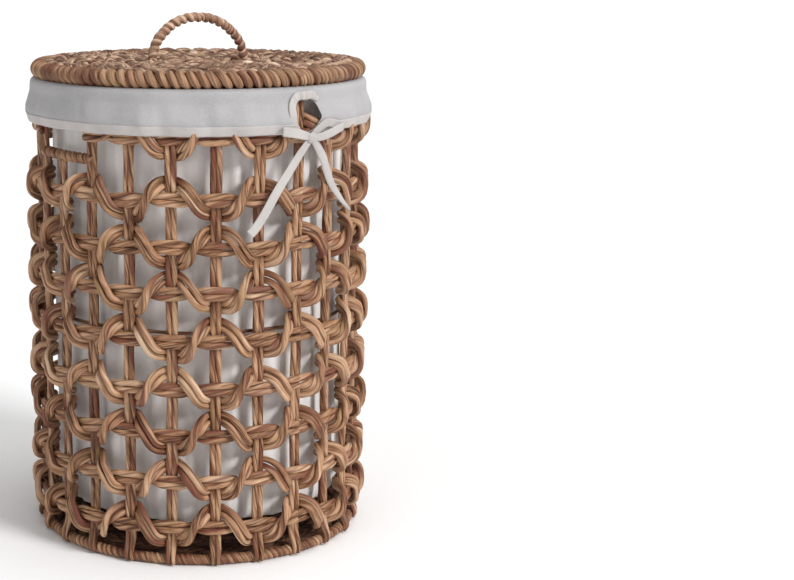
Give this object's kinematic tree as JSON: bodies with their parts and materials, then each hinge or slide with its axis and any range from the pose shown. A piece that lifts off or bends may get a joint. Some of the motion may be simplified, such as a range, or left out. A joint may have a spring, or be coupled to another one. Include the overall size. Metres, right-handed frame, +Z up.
{
  "type": "laundry basket",
  "caption": "Tall round laundry basket of open woven plant fibre, with a cloth liner folded over its rim, side hand holes and a lift-off lid with a loop handle.",
  "frame": {"origin": "centre of the base, on the floor", "axes": "+Z up; -Y is the front, where the liner is tied; the hand holes are at -X and +X"},
  "size_m": [0.4372, 0.4457, 0.6536],
  "materials": {
    "uprights": "matt twisted plant fibre",
    "courses": "matt twisted plant fibre",
    "waves": "matt twisted plant fibre",
    "frame": "matt wrapped plant fibre",
    "base_weave": "matt woven plant fibre",
    "lid_weave": "matt woven plant fibre",
    "liner": "plain cotton",
    "tape": "cotton tape"
  },
  "bodies": {
    "basket": {"base_ring": "frame", "base_panel": "base_weave", "rim_hoop": "frame", "mid_hoop": "frame", "hand_bar_left": "frame", "hand_bar_right": "frame", "stake_01": "uprights", "stake_02": "uprights", "stake_03": "uprights", "stake_04": "uprights", "stake_05": "uprights", "stake_06": "uprights", "stake_07": "uprights", "stake_08": "uprights", "stake_09": "uprights", "stake_10": "uprights", "stake_11": "uprights", "stake_12": "uprights", "stake_13": "uprights", "stake_14": "uprights", "stake_15": "uprights", "stake_16": "uprights", "stake_17": "uprights", "stake_18": "uprights", "stake_19": "uprights", "stake_20": "uprights", "stake_21": "uprights", "stake_22": "uprights", "stake_23": "uprights", "stake_24": "uprights", "course_1": "courses", "course_2": "courses", "course_3": "courses", "course_4": "courses", "course_5": "courses", "course_6": "courses", "course_7": "courses", "course_8": "courses", "wave_1": "waves", "wave_2": "waves", "wave_3": "waves", "wave_4": "waves", "wave_5": "waves", "wave_6": "waves", "wave_7": "waves", "wave_8": "waves", "top_course_front": "courses", "top_course_back": "courses", "top_wave_front": "waves", "top_wave_back": "waves"},
    "liner": {"liner": "liner", "keyhole_binding": "tape", "tie_knot": "tape", "tie_loop_left": "tape", "tie_loop_right": "tape", "tie_tail_left": "tape", "tie_tail_right": "tape"},
    "lid": {"lid_roll": "lid_weave", "lid_panel": "lid_weave", "lid_handle": "lid_weave"}
  },
  "joints": [
    {"name": "liner_lift", "type": "slide", "parent": "basket", "child": "liner", "axis": [0, 0, 1], "range_m": [0, 0.56]},
    {"name": "lid_lift", "type": "slide", "parent": "liner", "child": "lid", "axis": [0, 0, 1], "range_m": [0, 0.25]}
  ]
}
